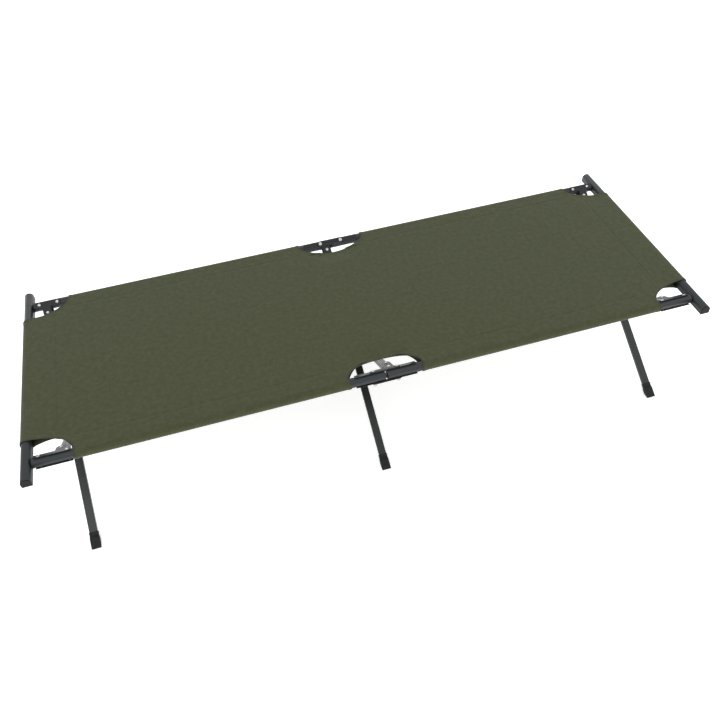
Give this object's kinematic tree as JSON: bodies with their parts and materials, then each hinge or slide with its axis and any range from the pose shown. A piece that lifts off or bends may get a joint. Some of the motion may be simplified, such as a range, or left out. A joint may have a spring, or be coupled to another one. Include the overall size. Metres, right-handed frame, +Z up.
{
  "type": "folding stretcher bed",
  "caption": "Folding field stretcher bed: taut cloth on two hinged side rails and two end bars, held up by crossed legs with rubber feet.",
  "frame": {"origin": "on the ground, under the middle of the bed", "axes": "+X along the bed's length, +Y from the front rail to the back rail, +Z up"},
  "size_m": [1.8996, 0.702, 0.4075],
  "materials": {
    "cloth": "olive drab woven polyester canvas",
    "rail_paint": "satin dark green-black powder coat",
    "leg_paint": "semi-gloss dark green-black paint",
    "black_steel": "satin black powder coat",
    "zinc_steel": "bright zinc plate",
    "rubber": "moulded matt rubber",
    "plastic": "moulded black plastic"
  },
  "bodies": {
    "front_hinge": {"front_hinge_links": "black_steel", "front_hinge_bolts": "zinc_steel", "front_hinge_nuts": "zinc_steel", "middle_cover": "cloth"},
    "front_left": {"front_left_rail": "rail_paint", "front_left_rail_plug": "plastic", "front_left_hinge_ears": "black_steel", "front_left_ear_rivets": "zinc_steel", "front_left_leg_plates": "black_steel", "front_left_plate_rivets": "zinc_steel", "left_cover": "cloth"},
    "front_left_leg": {"front_left_leg": "leg_paint", "front_left_crossing_bolt": "zinc_steel", "front_left_foot": "rubber"},
    "front_right": {"front_right_rail": "rail_paint", "front_right_rail_plug": "plastic", "front_right_hinge_ears": "black_steel", "front_right_ear_rivets": "zinc_steel", "front_right_leg_plates": "black_steel", "front_right_plate_rivets": "zinc_steel", "right_cover": "cloth"},
    "front_right_leg": {"front_right_leg": "leg_paint", "front_right_crossing_bolt": "zinc_steel", "front_right_foot": "rubber"},
    "front_middle_leg": {"front_middle_leg": "leg_paint", "front_middle_crossing_bolt": "zinc_steel", "front_middle_foot": "rubber"},
    "back_hinge": {"back_hinge_links": "black_steel", "back_hinge_bolts": "zinc_steel", "back_hinge_nuts": "zinc_steel"},
    "back_left": {"back_left_rail": "rail_paint", "back_left_rail_plug": "plastic", "back_left_hinge_ears": "black_steel", "back_left_ear_rivets": "zinc_steel", "back_left_leg_plates": "black_steel", "back_left_plate_rivets": "zinc_steel"},
    "back_left_leg": {"back_left_leg": "leg_paint", "back_left_crossing_bolt": "zinc_steel", "back_left_foot": "rubber"},
    "back_right": {"back_right_rail": "rail_paint", "back_right_rail_plug": "plastic", "back_right_hinge_ears": "black_steel", "back_right_ear_rivets": "zinc_steel", "back_right_leg_plates": "black_steel", "back_right_plate_rivets": "zinc_steel"},
    "back_right_leg": {"back_right_leg": "leg_paint", "back_right_crossing_bolt": "zinc_steel", "back_right_foot": "rubber"},
    "back_middle_leg": {"back_middle_leg": "leg_paint", "back_middle_crossing_bolt": "zinc_steel", "back_middle_foot": "rubber"},
    "left_end_bar": {"left_end_bar": "rail_paint", "left_end_bar_plugs": "plastic"},
    "right_end_bar": {"right_end_bar": "rail_paint", "right_end_bar_plugs": "plastic"}
  },
  "joints": [
    {"name": "fold", "type": "hinge", "parent": "front_hinge", "child": "back_hinge", "pos_m": [0, 0, 0.2046], "axis": [1, 0, 0], "range_deg": [0, 108], "deforming": ["left_cover", "right_cover", "middle_cover"]},
    {"name": "front_left_rail_fold", "type": "hinge", "parent": "front_hinge", "child": "front_left", "pos_m": [-0.033, -0.2935, 0.388], "axis": [0, 0.5299, 0.848], "range_deg": [0, 90]},
    {"name": "front_left_leg_swing", "type": "hinge", "parent": "front_left", "child": "front_left_leg", "pos_m": [-0.85, -0.26975, 0.37316], "axis": [0, -0.5299, -0.848], "range_deg": [0, 89.5]},
    {"name": "front_right_rail_fold", "type": "hinge", "parent": "front_hinge", "child": "front_right", "pos_m": [0.033, -0.2935, 0.388], "axis": [0, -0.5299, -0.848], "range_deg": [0, 90]},
    {"name": "front_right_leg_swing", "type": "hinge", "parent": "front_right", "child": "front_right_leg", "pos_m": [0.85, -0.26975, 0.37316], "axis": [0, 0.5299, 0.848], "range_deg": [0, 89.5]},
    {"name": "front_middle_leg_swing", "type": "hinge", "parent": "front_right", "child": "front_middle_leg", "pos_m": [0.016, -0.24771, 0.35938], "axis": [0, -0.5299, -0.848], "range_deg": [0, 85]},
    {"name": "back_left_rail_fold", "type": "hinge", "parent": "back_hinge", "child": "back_left", "pos_m": [-0.033, 0.2935, 0.388], "axis": [0, 0.5299, -0.848], "range_deg": [0, 90]},
    {"name": "back_left_leg_swing", "type": "hinge", "parent": "back_left", "child": "back_left_leg", "pos_m": [-0.882, 0.26975, 0.37316], "axis": [0, -0.5299, 0.848], "range_deg": [0, 89.5]},
    {"name": "back_middle_leg_swing", "type": "hinge", "parent": "back_left", "child": "back_middle_leg", "pos_m": [-0.016, 0.24771, 0.35938], "axis": [0, 0.5299, -0.848], "range_deg": [0, 85]},
    {"name": "back_right_rail_fold", "type": "hinge", "parent": "back_hinge", "child": "back_right", "pos_m": [0.033, 0.2935, 0.388], "axis": [0, -0.5299, 0.848], "range_deg": [0, 90]},
    {"name": "back_right_leg_swing", "type": "hinge", "parent": "back_right", "child": "back_right_leg", "pos_m": [0.882, 0.26975, 0.37316], "axis": [0, 0.5299, -0.848], "range_deg": [0, 89.5]},
    {"name": "left_end_bar_stow", "type": "hinge", "parent": "front_left", "child": "left_end_bar", "pos_m": [-0.907, -0.353, 0.388], "axis": [0, 0, 1], "range_deg": [0, 270]},
    {"name": "right_end_bar_stow", "type": "hinge", "parent": "back_right", "child": "right_end_bar", "pos_m": [0.907, 0.353, 0.388], "axis": [0, 0, 1], "range_deg": [0, 270]}
  ],
  "couplings": [
    {"joint": "front_left_rail_fold", "follows": "fold", "ratio": 0.83333},
    {"joint": "front_left_leg_swing", "follows": "fold", "ratio": 0.8287},
    {"joint": "front_right_rail_fold", "follows": "fold", "ratio": 0.83333},
    {"joint": "front_right_leg_swing", "follows": "fold", "ratio": 0.8287},
    {"joint": "back_left_rail_fold", "follows": "fold", "ratio": 0.83333},
    {"joint": "back_left_leg_swing", "follows": "fold", "ratio": 0.8287},
    {"joint": "back_middle_leg_swing", "follows": "front_middle_leg_swing", "ratio": 1},
    {"joint": "back_right_rail_fold", "follows": "fold", "ratio": 0.83333},
    {"joint": "back_right_leg_swing", "follows": "fold", "ratio": 0.8287},
    {"joint": "left_end_bar_stow", "follows": "fold", "ratio": 2.5},
    {"joint": "right_end_bar_stow", "follows": "fold", "ratio": 2.5}
  ]
}
